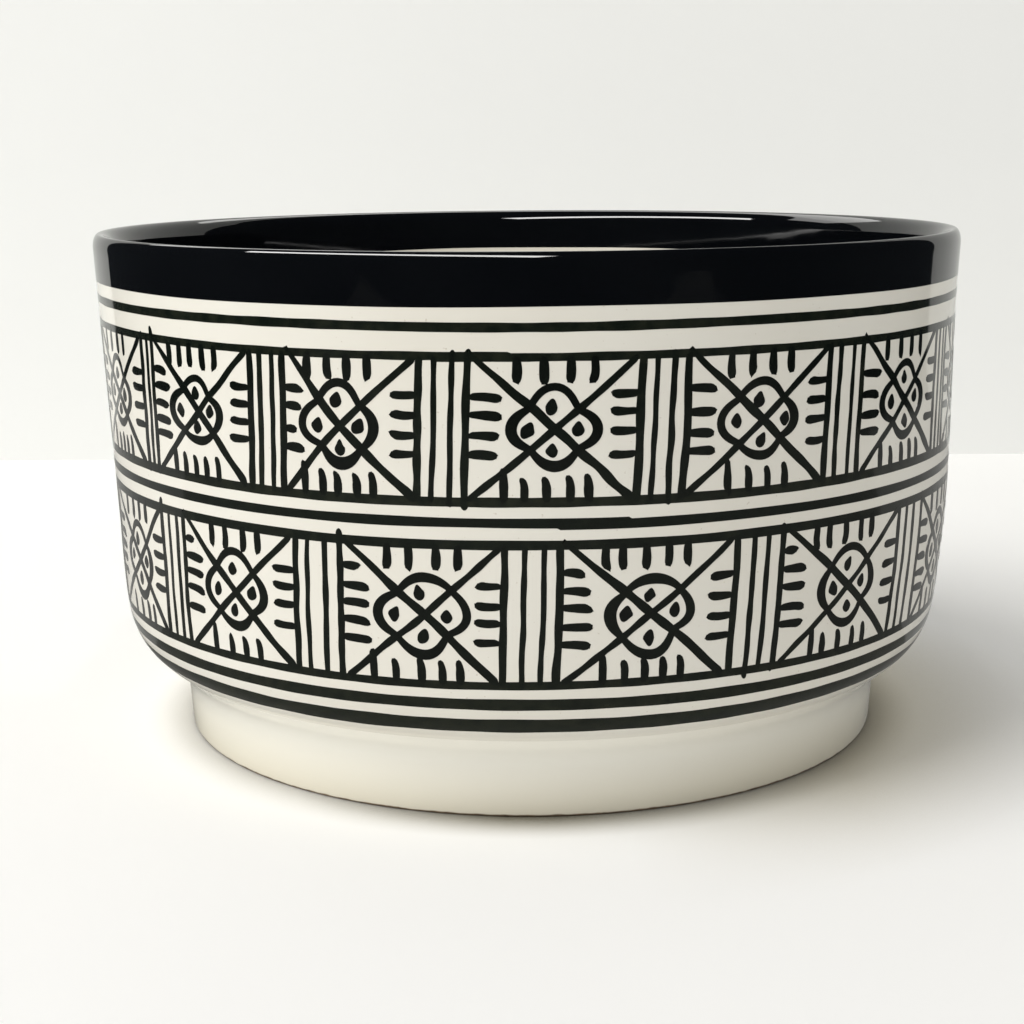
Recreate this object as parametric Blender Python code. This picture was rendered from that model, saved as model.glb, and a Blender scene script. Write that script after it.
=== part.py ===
"""A hand-painted stoneware bowl: a thrown body on a turned foot ring, glazed cream, with a black glaze
coat over the lip and charcoal bands and line friezes painted round the wall.

Metres, +Z up. The origin is the centre of the foot's base. Angles are in degrees about +Z, from the
front of the bowl (-Y) towards +X.
"""

import math

import bmesh
import bpy
import numpy as np

MM = 0.001

# Overall form
HEIGHT = 116.8 * MM
SEGMENTS = 48
GAP = 0.3 * MM  # between two pieces that lie on each other

# Foot ring
FOOT_HEIGHT = 15.5 * MM
FOOT_BASE_RADIUS = 83.7 * MM
FOOT_TOP_RADIUS = 84.8 * MM
FOOT_BASE_WIDTH = 7.2 * MM
FOOT_TOP_WIDTH = 10.0 * MM
FOOT_EDGE = 0.5 * MM  # rounding where the foot meets the table

# Wall, from the foot's top to the lip
SIDE_START = 33.0 * MM  # height where the shoulder ends and the side begins
SIDE_END = 113.8 * MM  # height where the lip begins to round over
SIDE_RADIUS = 98.0 * MM
SIDE_SWELL = 2.3 * MM  # how far the side leans out over its lower third
SIDE_SWELL_RATE = 0.3
LIP_FLARE = 1.3 * MM  # what the last stretch adds under the lip
SHOULDER_REACH = 11.0 * MM
SHOULDER_RISE = 24.0  # degrees, at the foot
SHOULDER_TURN = 8.0 * MM

# Lip and inside
LIP_OUTER = 1.3 * MM  # from the outermost point in to the lip's crest
LIP_INNER = 3.0 * MM  # from the crest in to the inside wall
LIP_INNER_DROP = 4.0 * MM
INSIDE_LOW_RADIUS = 93.2 * MM
INSIDE_LOW_HEIGHT = 48.0 * MM
FLOOR_RADIUS = 62.0 * MM
FLOOR_HEIGHT = 22.5 * MM

# Glaze coat over the lip
COAT = 0.5 * MM
COAT_BOTTOM_OUTSIDE = 106.6 * MM
COAT_BOTTOM_INSIDE = 106.9 * MM

# Painted lines: bottom and top heights on the wall
PAINT = 0.4 * MM
RIM_LINE = (102.0 * MM, 103.8 * MM)
UPPER_FRIEZE_TOP = (96.6 * MM, 98.2 * MM)
UPPER_FRIEZE_BOTTOM = (68.6 * MM, 70.5 * MM)
MIDDLE_LINE = (64.4 * MM, 66.3 * MM)
LOWER_FRIEZE_TOP = (60.2 * MM, 62.1 * MM)
LOWER_FRIEZE_BOTTOM = (31.9 * MM, 33.6 * MM)
BASE_LINE_NARROW = (27.4 * MM, 29.8 * MM)
BASE_LINE_WIDE = (21.9 * MM, 25.2 * MM)

# Friezes: square panels, each crossed corner to corner, with four upright lines between two panels
UPPER_PANELS = 16
UPPER_FIRST_PANEL = 2.7  # degrees
LOWER_PANELS = 14
LOWER_FIRST_PANEL = 13.6  # degrees
UPRIGHTS = 4
UPRIGHT_WIDTH = 1.5 * MM
UPRIGHT_SPACING = 3.3 * MM
DIAGONAL_WIDTH = 1.6 * MM

CREAM = (0.83, 0.80, 0.71, 1.0)
BLACK = (0.006, 0.007, 0.009, 1.0)
CHARCOAL = (0.022, 0.026, 0.022, 1.0)


def clear_scene():
    for thing in list(bpy.data.objects):
        bpy.data.objects.remove(thing, do_unlink=True)


def material(name, colour, roughness):
    made = bpy.data.materials.new(name)
    made.use_nodes = True
    shader = made.node_tree.nodes["Principled BSDF"]
    shader.inputs["Base Color"].default_value = colour
    shader.inputs["Roughness"].default_value = roughness
    shader.inputs["Metallic"].default_value = 0.0
    return made


def bezier(start, near_start, near_end, end, steps):
    """Points of a cubic curve, both ends included."""
    t = np.linspace(0.0, 1.0, steps + 1)[:, None]
    corners = [np.array(p) for p in (start, near_start, near_end, end)]
    weights = [(1 - t) ** 3, 3 * t * (1 - t) ** 2, 3 * t**2 * (1 - t), t**3]
    return [tuple(p) for p in sum(w * c for w, c in zip(weights, corners))]


def quarter_round(crest, corner, steps):
    """Quarter of an ellipse from the crest, where it is level, to the corner, where it is upright."""
    (crest_r, crest_z), (corner_r, corner_z) = crest, corner
    turns = [math.pi / 2 * i / steps for i in range(steps + 1)]
    return [
        (crest_r + (corner_r - crest_r) * math.sin(a), corner_z + (crest_z - corner_z) * math.cos(a))
        for a in turns
    ]


def side_radius(z):
    """Outer radius between the shoulder and the lip: it swells quickly, then flares under the lip."""
    t = (z - SIDE_START) / (SIDE_END - SIDE_START)
    return SIDE_RADIUS + SIDE_SWELL * (1 - math.exp(-t / SIDE_SWELL_RATE)) + LIP_FLARE * t**4


def shoulder(steps):
    """From the foot's top outwards and up into the side."""
    rise = math.radians(SHOULDER_RISE)
    top = side_radius(SIDE_START)
    return bezier(
        (FOOT_TOP_RADIUS, FOOT_HEIGHT),
        (FOOT_TOP_RADIUS + SHOULDER_REACH * math.cos(rise), FOOT_HEIGHT + SHOULDER_REACH * math.sin(rise)),
        (top - 0.09 * SHOULDER_TURN, SIDE_START - SHOULDER_TURN),
        (top, SIDE_START),
        steps,
    )


FINE_SHOULDER = shoulder(40)


def wall_radius(z):
    """Outer radius of the wall at any height from the foot's top to the lip."""
    if z >= SIDE_START:
        return side_radius(z)
    heights = [p[1] for p in FINE_SHOULDER]
    radii = [p[0] for p in FINE_SHOULDER]
    return float(np.interp(z, heights, radii))


def lip_crest():
    return (side_radius(SIDE_END) - LIP_OUTER, HEIGHT)


def lip_inside():
    return (lip_crest()[0] - LIP_INNER, HEIGHT - LIP_INNER_DROP)


def inside_radius(z):
    """Radius of the inside wall between the lip and its foot."""
    top_r, top_z = lip_inside()
    return top_r + (INSIDE_LOW_RADIUS - top_r) * (top_z - z) / (top_z - INSIDE_LOW_HEIGHT)


def turned_solid(name, profile, finish, ring=False):
    """A profile of (radius, height) points turned about +Z; a ring's profile closes on itself."""
    bm = bmesh.new()
    verts = [bm.verts.new((r, 0.0, z)) for r, z in profile]
    ends = verts[1:] + verts[:1] if ring else verts[1:]
    edges = [bm.edges.new(pair) for pair in zip(verts, ends)]
    bmesh.ops.spin(
        bm, geom=verts + edges, cent=(0, 0, 0), axis=(0, 0, 1), angle=2 * math.pi, steps=SEGMENTS
    )
    bmesh.ops.remove_doubles(bm, verts=bm.verts, dist=0.01 * MM)
    return finished(name, bm, finish)


def finished(name, bm, finish):
    bmesh.ops.recalc_face_normals(bm, faces=bm.faces)
    mesh = bpy.data.meshes.new(name)
    bm.to_mesh(mesh)
    bm.free()
    mesh.shade_smooth()
    mesh.set_sharp_from_angle(angle=math.radians(35))
    mesh.materials.append(finish)
    thing = bpy.data.objects.new(name, mesh)
    bpy.context.scene.collection.objects.link(thing)
    return thing


def make_body(finish):
    """Wall and floor in one thrown piece, stepped in under the glaze coat at the lip."""
    step = COAT + GAP
    crest_r, crest_z = lip_crest()
    inner_r, inner_z = lip_inside()
    side_heights = [SIDE_START + (COAT_BOTTOM_OUTSIDE - SIDE_START) * i / 6 for i in range(1, 6)]
    outside = [(side_radius(z), z) for z in side_heights]
    outside.append((side_radius(COAT_BOTTOM_OUTSIDE - GAP), COAT_BOTTOM_OUTSIDE - GAP))
    outside.append((side_radius(COAT_BOTTOM_OUTSIDE) - step, COAT_BOTTOM_OUTSIDE - GAP))
    crest = (crest_r, crest_z - step)
    outer_round = quarter_round(crest, (side_radius(SIDE_END) - step, SIDE_END), 3)
    inner_round = quarter_round(crest, (inner_r + step, inner_z), 3)
    low_in = COAT_BOTTOM_INSIDE - GAP
    inside = [
        (inside_radius(COAT_BOTTOM_INSIDE) + step, low_in),
        (inside_radius(low_in), low_in),
        (inside_radius(75 * MM), 75 * MM),
    ]
    bottom = bezier(
        (INSIDE_LOW_RADIUS, INSIDE_LOW_HEIGHT),
        (INSIDE_LOW_RADIUS - 1.0 * MM, INSIDE_LOW_HEIGHT - 15 * MM),
        (FLOOR_RADIUS + 20 * MM, FLOOR_HEIGHT),
        (FLOOR_RADIUS, FLOOR_HEIGHT),
        5,
    )
    profile = [(0.0, FOOT_HEIGHT)] + shoulder(5) + outside + outer_round[::-1] + inner_round[1:]
    profile += inside + bottom + [(0.0, FLOOR_HEIGHT)]
    return turned_solid("bowl_body", profile, finish)


def make_foot_ring(finish):
    """Ring under the bowl: a flat base with rounded edges, a little wider at the top."""
    top = FOOT_HEIGHT - GAP
    inner_base = FOOT_BASE_RADIUS - FOOT_BASE_WIDTH
    outer_edge = quarter_round((FOOT_BASE_RADIUS - FOOT_EDGE, 0.0), (FOOT_BASE_RADIUS, FOOT_EDGE), 2)
    inner_edge = quarter_round((inner_base + FOOT_EDGE, 0.0), (inner_base, FOOT_EDGE), 2)
    profile = inner_edge[::-1] + outer_edge
    profile += [
        (FOOT_TOP_RADIUS, top),
        (FOOT_TOP_RADIUS - FOOT_TOP_WIDTH, top),
    ]
    return turned_solid("foot_ring", profile, finish, ring=True)


def make_rim_glaze(finish):
    """Coat folded over the lip, flush with the wall outside and inside."""
    crest_r, crest_z = lip_crest()
    inner_r, inner_z = lip_inside()
    outer = [(side_radius(COAT_BOTTOM_OUTSIDE), COAT_BOTTOM_OUTSIDE)]
    outer += quarter_round((crest_r, crest_z), (side_radius(SIDE_END), SIDE_END), 4)[::-1]
    outer += quarter_round((crest_r, crest_z), (inner_r, inner_z), 4)[1:]
    outer.append((inside_radius(COAT_BOTTOM_INSIDE), COAT_BOTTOM_INSIDE))
    under_crest = (crest_r, crest_z - COAT)
    inner = [(inside_radius(COAT_BOTTOM_INSIDE) + COAT, COAT_BOTTOM_INSIDE)]
    inner += quarter_round(under_crest, (inner_r + COAT, inner_z), 3)[::-1]
    inner += quarter_round(under_crest, (side_radius(SIDE_END) - COAT, SIDE_END), 3)[1:]
    inner.append((side_radius(COAT_BOTTOM_OUTSIDE) - COAT, COAT_BOTTOM_OUTSIDE))
    return turned_solid("rim_glaze", outer + inner, finish, ring=True)


def make_line(name, heights, finish, rows=1):
    """One painted line round the wall, as a thin hoop that follows it."""
    low, high = heights
    levels = [low + (high - low) * i / rows for i in range(rows + 1)]
    back = [(wall_radius(z) + GAP, z) for z in levels]
    front = [(wall_radius(z) + GAP + PAINT, z) for z in levels]
    return turned_solid(name, back + front[::-1], finish, ring=True)


class PaintNet:
    """Flat faces drawn in (angle, height), laid on the wall and given the paint's thickness."""

    def __init__(self):
        self.faces = []

    def add(self, *corners):
        self.faces.append([(round(angle % 360.0, 5), round(z, 8)) for angle, z in corners])

    def solid(self, name, finish):
        bm = bmesh.new()
        front, back = {}, {}
        for key in sorted({corner for face in self.faces for corner in face}):
            angle, z = math.radians(key[0]), key[1]
            for store, radius in ((front, wall_radius(z) + GAP + PAINT), (back, wall_radius(z) + GAP)):
                store[key] = bm.verts.new((radius * math.sin(angle), -radius * math.cos(angle), z))
        uses = {}
        for face in self.faces:
            bm.faces.new([front[c] for c in face])
            bm.faces.new([back[c] for c in reversed(face)])
            for a, b in zip(face, face[1:] + face[:1]):
                edge = tuple(sorted((a, b)))
                uses[edge] = uses.get(edge, 0) + 1
        for (a, b), count in sorted(uses.items()):
            if count == 1:
                bm.faces.new((front[a], front[b], back[b], back[a]))
        bmesh.ops.triangulate(bm, faces=bm.faces)
        return finished(name, bm, finish)


def make_frieze(name, panels, first_panel, bottom_line, top_line, finish):
    """Border lines, the uprights between panels and each panel's crossed diagonals, in one net."""
    pitch = 360.0 / panels
    low, high = bottom_line[1], top_line[0]
    middle = (low + high) / 2
    per_metre = 360.0 / (2 * math.pi * wall_radius(middle))
    half_upright = UPRIGHT_WIDTH / 2 * per_metre
    spacing = UPRIGHT_SPACING * per_metre
    group = (UPRIGHTS - 1) / 2 * spacing + half_upright
    half_width = (pitch / 2 - group) / per_metre
    half_height = (high - low) / 2
    length = math.hypot(half_width, half_height)
    across = DIAGONAL_WIDTH / 2 * length / half_height  # stroke's half width measured along a border
    along = DIAGONAL_WIDTH / 2 * length / half_width  # the same, measured up an upright
    net = PaintNet()
    for panel in range(panels):
        centre = first_panel + panel * pitch

        def at(x, y, centre=centre):
            return (centre + x * per_metre, middle + y)

        inner = half_width - across
        add_cross(net, at, half_width, half_height, across, along)
        panel_x = [-inner, -inner / 3, inner / 3, inner]
        edges = [
            centre + pitch / 2 + (i - (UPRIGHTS - 1) / 2) * spacing + side * half_upright
            for i in range(UPRIGHTS)
            for side in (-1, 1)
        ]
        next_start = centre + pitch - inner * per_metre
        for inner_z, outer_z in ((low, bottom_line[0]), (high, top_line[1])):
            corners = [centre + x * per_metre for x in panel_x]
            for a, b in zip(corners, corners[1:]):
                net.add((a, inner_z), (b, inner_z), (b, outer_z), (a, outer_z))
            half = len(edges) // 2
            for stretch in ([corners[-1]] + edges[:half], edges[half - 1 :] + [next_start]):
                ends = [(stretch[-1], outer_z), (stretch[0], outer_z)]
                net.add(*[(a, inner_z) for a in stretch], *ends)
        add_uprights(net, edges, low, high, along)
    return net.solid(name, finish)


def add_cross(net, at, half_width, half_height, across, along):
    """Two diagonals from corner to corner, as four arms and the lozenge where they cross."""
    net.add(at(across, 0), at(0, along), at(-across, 0), at(0, -along))
    for sx, sy in ((1, 1), (-1, 1), (-1, -1), (1, -1)):
        beside = (sx * across, 0.0)
        above = (0.0, sy * along)
        on_upright = (sx * half_width, sy * (half_height - along))
        on_border = (sx * (half_width - across), sy * half_height)
        corner = (sx * half_width, sy * half_height)
        mid_beside = tuple((a + b) / 2 for a, b in zip(beside, on_upright))
        mid_above = tuple((a + b) / 2 for a, b in zip(above, on_border))
        net.add(*[at(*p) for p in (beside, mid_beside, mid_above, above)])
        net.add(*[at(*p) for p in (mid_beside, on_upright, corner, on_border, mid_above)])


def add_uprights(net, edges, low, high, along):
    """The lines between two panels; the outer two also carry the ends of the diagonals."""
    for i in range(0, len(edges), 2):
        left, right = edges[i], edges[i + 1]
        outline = [(left, low), (right, low)]
        if i == len(edges) - 2:
            outline += [(right, low + along), (right, high - along)]
        outline += [(right, high), (left, high)]
        if i == 0:
            outline += [(left, high - along), (left, low + along)]
        net.add(*outline)


def main():
    clear_scene()
    make_body(material("cream_glaze", CREAM, 0.12))
    make_foot_ring(material("foot_glaze", CREAM, 0.14))
    make_rim_glaze(material("black_glaze", BLACK, 0.06))
    lines = (
        ("rim_line", RIM_LINE, 1),
        ("middle_line", MIDDLE_LINE, 1),
        ("base_line_narrow", BASE_LINE_NARROW, 1),
        ("base_line_wide", BASE_LINE_WIDE, 2),
    )
    for name, heights, rows in lines:
        make_line(name, heights, material(name + "_paint", CHARCOAL, 0.12), rows)
    friezes = (
        ("upper_frieze", UPPER_PANELS, UPPER_FIRST_PANEL, UPPER_FRIEZE_BOTTOM, UPPER_FRIEZE_TOP),
        ("lower_frieze", LOWER_PANELS, LOWER_FIRST_PANEL, LOWER_FRIEZE_BOTTOM, LOWER_FRIEZE_TOP),
    )
    for name, panels, first, bottom, top in friezes:
        make_frieze(name, panels, first, bottom, top, material(name + "_paint", CHARCOAL, 0.12))


main()
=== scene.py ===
"""Looks of the hand-painted bowl: the fine turned surfaces, the brushed strokes and the glazes.

Lengths are in metres, angles in degrees about +Z from the front (-Y) towards +X.
"""

import math
import random

import bpy
import numpy as np
from mathutils import Matrix, Vector


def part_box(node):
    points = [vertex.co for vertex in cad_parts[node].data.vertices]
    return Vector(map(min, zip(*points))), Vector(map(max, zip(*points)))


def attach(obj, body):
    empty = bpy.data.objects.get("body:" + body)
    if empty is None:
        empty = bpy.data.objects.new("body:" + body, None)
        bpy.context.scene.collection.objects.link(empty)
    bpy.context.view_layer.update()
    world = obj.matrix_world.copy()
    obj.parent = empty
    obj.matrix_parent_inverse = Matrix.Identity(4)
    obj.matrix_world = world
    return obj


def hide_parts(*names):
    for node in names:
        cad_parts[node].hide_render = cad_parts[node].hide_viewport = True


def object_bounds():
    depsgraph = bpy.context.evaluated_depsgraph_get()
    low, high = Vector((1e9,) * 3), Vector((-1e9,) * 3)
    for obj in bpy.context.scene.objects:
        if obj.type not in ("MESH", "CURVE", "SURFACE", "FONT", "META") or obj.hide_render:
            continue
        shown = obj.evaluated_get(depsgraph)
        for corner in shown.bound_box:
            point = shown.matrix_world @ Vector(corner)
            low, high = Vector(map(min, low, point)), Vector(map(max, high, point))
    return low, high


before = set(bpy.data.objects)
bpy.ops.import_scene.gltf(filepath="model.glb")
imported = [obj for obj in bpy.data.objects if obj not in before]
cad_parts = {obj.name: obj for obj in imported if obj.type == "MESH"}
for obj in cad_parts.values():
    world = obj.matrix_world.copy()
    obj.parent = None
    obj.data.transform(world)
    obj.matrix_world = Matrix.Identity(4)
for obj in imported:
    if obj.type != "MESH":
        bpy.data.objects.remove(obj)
cad_low, cad_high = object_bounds()

MM = 0.001
FULL_TURN = 2 * math.pi


# ---------------------------------------------------------------- driving dimensions, from the frame

HEIGHT = cad_high.z
FOOT_LOW, FOOT_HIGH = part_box("foot_ring")
COAT_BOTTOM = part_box("rim_glaze")[0].z
JOINT_GAP = 0.3 * MM  # between CAD pieces that lie on each other
FOOT_HEIGHT = FOOT_HIGH.z + JOINT_GAP
FOOT_TOP_RADIUS = FOOT_HIGH.x
FOOT_BASE_RADIUS = FOOT_TOP_RADIUS - 1.1 * MM
FOOT_BASE_WIDTH = 7.2 * MM
FOOT_TOP_WIDTH = 10.0 * MM

SIDE_START = 33.0 * MM
SIDE_END = HEIGHT - 3.0 * MM
SIDE_RADIUS = 98.0 * MM
SIDE_SWELL = 2.3 * MM
SIDE_SWELL_RATE = 0.3
LIP_FLARE = 0.9 * MM
SHOULDER_REACH = 11.0 * MM
SHOULDER_RISE = math.radians(24.0)
SHOULDER_TURN = 8.0 * MM
LIP_OUTER = 1.3 * MM
LIP_INNER = 3.0 * MM
LIP_INNER_DROP = 4.0 * MM
INSIDE_LOW = (93.2 * MM, 48.0 * MM)
FLOOR = (62.0 * MM, 22.5 * MM)
AROUND = 512  # facets round the bowl

REF_RADIUS = 0.0995  # strokes are drawn on a cylinder of this radius and laid on the wall


# ---------------------------------------------------------------- the turned profile


def bezier(start, near_start, near_end, end, steps):
    t = np.linspace(0.0, 1.0, steps + 1)[:, None]
    corners = [np.array(p) for p in (start, near_start, near_end, end)]
    weights = [(1 - t) ** 3, 3 * t * (1 - t) ** 2, 3 * t**2 * (1 - t), t**3]
    return [tuple(p) for p in sum(w * c for w, c in zip(weights, corners))]


def quarter_round(crest, corner, steps):
    """Quarter of an ellipse from the crest, where it is level, to the corner, where it is upright."""
    turns = np.linspace(0.0, math.pi / 2, steps + 1)
    r = crest[0] + (corner[0] - crest[0]) * np.sin(turns)
    z = corner[1] + (crest[1] - corner[1]) * np.cos(turns)
    return list(zip(r, z))


def side_radius(z):
    t = (z - SIDE_START) / (SIDE_END - SIDE_START)
    return SIDE_RADIUS + SIDE_SWELL * (1 - math.exp(-t / SIDE_SWELL_RATE)) + LIP_FLARE * t**4


def shoulder(steps):
    top = side_radius(SIDE_START)
    reach = (SHOULDER_REACH * math.cos(SHOULDER_RISE), SHOULDER_REACH * math.sin(SHOULDER_RISE))
    return bezier(
        (FOOT_TOP_RADIUS, FOOT_HEIGHT),
        (FOOT_TOP_RADIUS + reach[0], FOOT_HEIGHT + reach[1]),
        (top - 0.09 * SHOULDER_TURN, SIDE_START - SHOULDER_TURN),
        (top, SIDE_START),
        steps,
    )


CREST = (side_radius(SIDE_END) - LIP_OUTER, HEIGHT)
LIP_INSIDE = (CREST[0] - LIP_INNER, HEIGHT - LIP_INNER_DROP)


def outer_profile():
    """The outside of the wall from the foot's top to the crest."""
    side = [(side_radius(z), z) for z in np.linspace(SIDE_START, SIDE_END, 72)[1:]]
    rounding = quarter_round(CREST, (side_radius(SIDE_END), SIDE_END), 14)[::-1]
    return shoulder(28) + side + rounding[1:]


def inside_radius(z):
    return float(np.interp(z, (INSIDE_LOW[1], LIP_INSIDE[1]), (INSIDE_LOW[0], LIP_INSIDE[0])))


def inner_profile():
    """The inside from the crest to the centre of the floor."""
    rounding = quarter_round(CREST, LIP_INSIDE, 12)[1:]
    wall = [(inside_radius(z), z) for z in np.linspace(LIP_INSIDE[1], INSIDE_LOW[1], 24)[1:]]
    corner = bezier(
        INSIDE_LOW,
        (INSIDE_LOW[0] - 1.0 * MM, INSIDE_LOW[1] - 15 * MM),
        (FLOOR[0] + 20 * MM, FLOOR[1]),
        FLOOR,
        24,
    )[1:]
    floor = [(FLOOR[0] * t, FLOOR[1]) for t in np.linspace(1.0, 0.0, 10)[1:]]
    return rounding + wall + corner + floor


OUTER = np.array(outer_profile())
STEEP = OUTER[OUTER[:, 1] <= SIDE_END]


def hand_wobble(angle, z):
    """How far the thrown wall is out of round, in metres; angle in radians."""
    height = z / HEIGHT
    oval = 0.07 * np.sin(2 * angle + 0.7) + 0.04 * np.sin(3 * angle + 2.1 + 2 * height)
    belly = 0.5 * np.clip((z - 15 * MM) / (35 * MM), 0, 1) ** 2
    lean = belly * np.cos(math.pi * np.clip((z - 50 * MM) / (60 * MM), 0, 1))
    return MM * (height * oval + lean * np.sin(angle))


def on_wall(s, z, lift):
    """Points on the outside wall: s runs round it, lift stands off it along its normal."""
    angle = s / REF_RADIUS
    r = np.interp(z, STEEP[:, 1], STEEP[:, 0])
    slope = (np.interp(z + 0.2 * MM, STEEP[:, 1], STEEP[:, 0]) - r) / (0.2 * MM)
    scale = 1 / np.sqrt(1 + slope**2)
    r = r + hand_wobble(angle, z) + lift * scale
    return np.stack([r * np.sin(angle), -r * np.cos(angle), z - lift * slope * scale], -1)


# ---------------------------------------------------------------- mesh making


def new_piece(name, points, faces, finishes, tones=None, sharp=30.0):
    mesh = bpy.data.meshes.new(name)
    mesh.from_pydata([tuple(p) for p in points], [], faces)
    mesh.validate()
    mesh.shade_smooth()
    mesh.set_sharp_from_angle(angle=math.radians(sharp))
    for finish in finishes:
        mesh.materials.append(finish)
    if tones is not None:
        layer = mesh.attributes.new("tone", "FLOAT", "POINT")
        layer.data.foreach_set("value", tones)
    piece = bpy.data.objects.new(name, mesh)
    bpy.context.scene.collection.objects.link(piece)
    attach(piece, "root")
    return piece


def turned(name, profile, finishes, ring=False):
    """A (radius, height) profile turned about +Z, wound so that an outside running upwards faces out."""
    turns = np.arange(AROUND) / AROUND * FULL_TURN
    points, rows = [], []
    for r, z in profile:
        if r < 1e-7:
            rows.append([len(points)] * AROUND)
            points.append((0.0, 0.0, z))
            continue
        rows.append(list(range(len(points), len(points) + AROUND)))
        out = r + hand_wobble(turns, z)
        points.extend(zip(out * np.sin(turns), -out * np.cos(turns), np.full(AROUND, z)))
    pairs = list(zip(rows, rows[1:]))
    if ring:
        pairs.append((rows[-1], rows[0]))
    faces = []
    for low, high in pairs:
        for i in range(AROUND):
            j = (i + 1) % AROUND
            corners = [low[i], low[j], high[j], high[i]]
            faces.append([c for k, c in enumerate(corners) if c != corners[k - 1]])
    return new_piece(name, points, faces, finishes)


class Strokes:
    """Brush strokes laid on the wall as thin closed ribbons, gathered into one piece."""

    sink = 0.05 * MM  # how far a ribbon's lower edges lie inside the wall
    bevel = 0.03 * MM

    def __init__(self, seed, thinness=0.5):
        self.points, self.faces, self.tones = [], [], []
        self.thinness = thinness
        self.chance = random.Random(seed)
        self.count = 0

    def add(self, path, widths, lift, tone=0.5, closed=False, columns=1, slant=0.0):
        """path is (s, z) points in metres; widths are full widths at those points.

        slant moves the two edges along the stroke, one forwards and one back, by a share of the half width.
        """
        path, widths = np.asarray(path, float), np.asarray(widths, float)
        if closed:
            ahead, behind = np.roll(path, -1, 0), np.roll(path, 1, 0)
        else:
            ahead = np.vstack([path[1:], 2 * path[-1] - path[-2]])
            behind = np.vstack([2 * path[0] - path[1], path[:-1]])
        along = ahead - behind
        along /= np.linalg.norm(along, axis=1)[:, None]
        across = np.stack([-along[:, 1], along[:, 0]], -1)
        self.count += 1
        lift += (self.count % 7) * 0.0004 * MM
        base = len(self.points)
        section = [(widths / 2 + self.bevel, -self.sink)]
        section += [(widths * part, lift) for part in np.linspace(0.5, -0.5, columns + 1)]
        section += [(widths * part, -self.sink) for part in np.linspace(-0.5, 0.5, columns + 1)[1:-1]]
        section.insert(columns + 2, (-widths / 2 - self.bevel, -self.sink))
        rows = []
        for half, height in section:
            edge = path + across * half[:, None] + along * (half * slant)[:, None]
            rows.append(on_wall(edge[:, 0], edge[:, 1], height))
        n, m = len(path), len(section)
        self.points.extend(np.stack(rows, 1).reshape(-1, 3))
        self.tones.extend([tone] * (m * n))
        for i in range(n if closed else n - 1):
            a, b = base + m * i, base + m * ((i + 1) % n)
            for k in range(m):
                after = (k + 1) % m
                self.faces.append((a + k, a + after, b + after, b + k))
        if not closed:
            last = base + m * (n - 1)
            self.faces.append(tuple(base + k for k in reversed(range(m))))
            self.faces.append(tuple(last + k for k in range(m)))

    def brush(self, through, width, lift, spread=0.12, tips=(0.6, 0.6), swell=0.08, step=0.9 * MM,
              blunt=0.25):
        """An open stroke through a few points, with a hand's wobble and slanted tips.

        tips say how full each end is: 1 is a short round end, 0.3 a long pointed one. blunt is the share
        of the width that is left at the very end.
        """
        path = smooth_line(through, step)
        away = np.r_[0.0, np.cumsum(np.linalg.norm(np.diff(path, axis=0), axis=1))]
        length = away[-1]
        shape = np.interp(away / length, np.linspace(0, 1, len(width)), width)
        shape = shape * (1 + swell * self.wave(away, 5 * MM, 14 * MM))
        for far, full in ((away, tips[0]), (length - away, tips[1])):
            reach = np.maximum(shape / 2, 1e-6) * (2.2 - 1.2 * full)
            t = np.clip(far / reach, 0.0, 1.0)
            shape = shape * np.maximum(np.sqrt(1 - (1 - t) ** 2), blunt)
        tip_slants = (self.chance.gauss(0, 0.35), 0, 0, self.chance.gauss(0, 0.35))
        slants = np.interp(away / length, (0.0, 0.35, 0.65, 1.0), tip_slants)
        along = np.gradient(path, axis=0)
        along /= np.linalg.norm(along, axis=1)[:, None]
        across = np.stack([-along[:, 1], along[:, 0]], -1)
        path = path + across * (spread * MM * self.wave(away, 8 * MM, 30 * MM))[:, None]
        self.add(path, shape, lift, self.tone(), slant=slants)

    def tone(self):
        """How thin this stroke's paint is, 0 to 1."""
        return min(max(self.chance.gauss(self.thinness, 0.12), 0.0), 1.0)

    def wave(self, away, shortest, longest):
        """A smooth random curve of about -1 to 1 along a stroke."""
        total = np.zeros_like(away)
        for _ in range(3):
            wavelength = self.chance.uniform(shortest, longest)
            total += np.sin(away / wavelength * FULL_TURN + self.chance.uniform(0, FULL_TURN))
        return total / 2

    def piece(self, name, finish, node):
        made = new_piece(name, self.points, self.faces, [finish], self.tones)
        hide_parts(node)
        return made


def smooth_line(through, step):
    """A smooth curve through the points, sampled finely at its ends and every step between them."""
    points = np.asarray(through, float)
    if len(points) == 2:
        points = np.vstack([points[0], points.mean(0), points[1]])
    knots = np.r_[0.0, np.cumsum(np.linalg.norm(np.diff(points, axis=0), axis=1))]
    length = knots[-1]
    inner = np.linspace(0, length, max(int(length / step), 4) + 1)
    ends = np.array([0.06, 0.16, 0.35, 0.6]) * MM
    at = np.unique(np.r_[inner, ends, length - ends])
    at = at[(at >= 0) & (at <= length)]
    keep = np.r_[True, np.diff(at) > 0.03 * MM]
    at = at[keep]
    padded = np.vstack([2 * points[0] - points[1], points, 2 * points[-1] - points[-2]])
    result = []
    for a in at:
        i = min(int(np.searchsorted(knots, a, side="right")) - 1, len(points) - 2)
        t = (a - knots[i]) / (knots[i + 1] - knots[i])
        p0, p1, p2, p3 = padded[i : i + 4]
        result.append(
            0.5 * (2 * p1 + (p2 - p0) * t + (2 * p0 - 5 * p1 + 4 * p2 - p3) * t**2
                   + (3 * p1 - p0 - 3 * p2 + p3) * t**3)
        )
    return np.array(result)


# ---------------------------------------------------------------- what the painter drew

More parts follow.
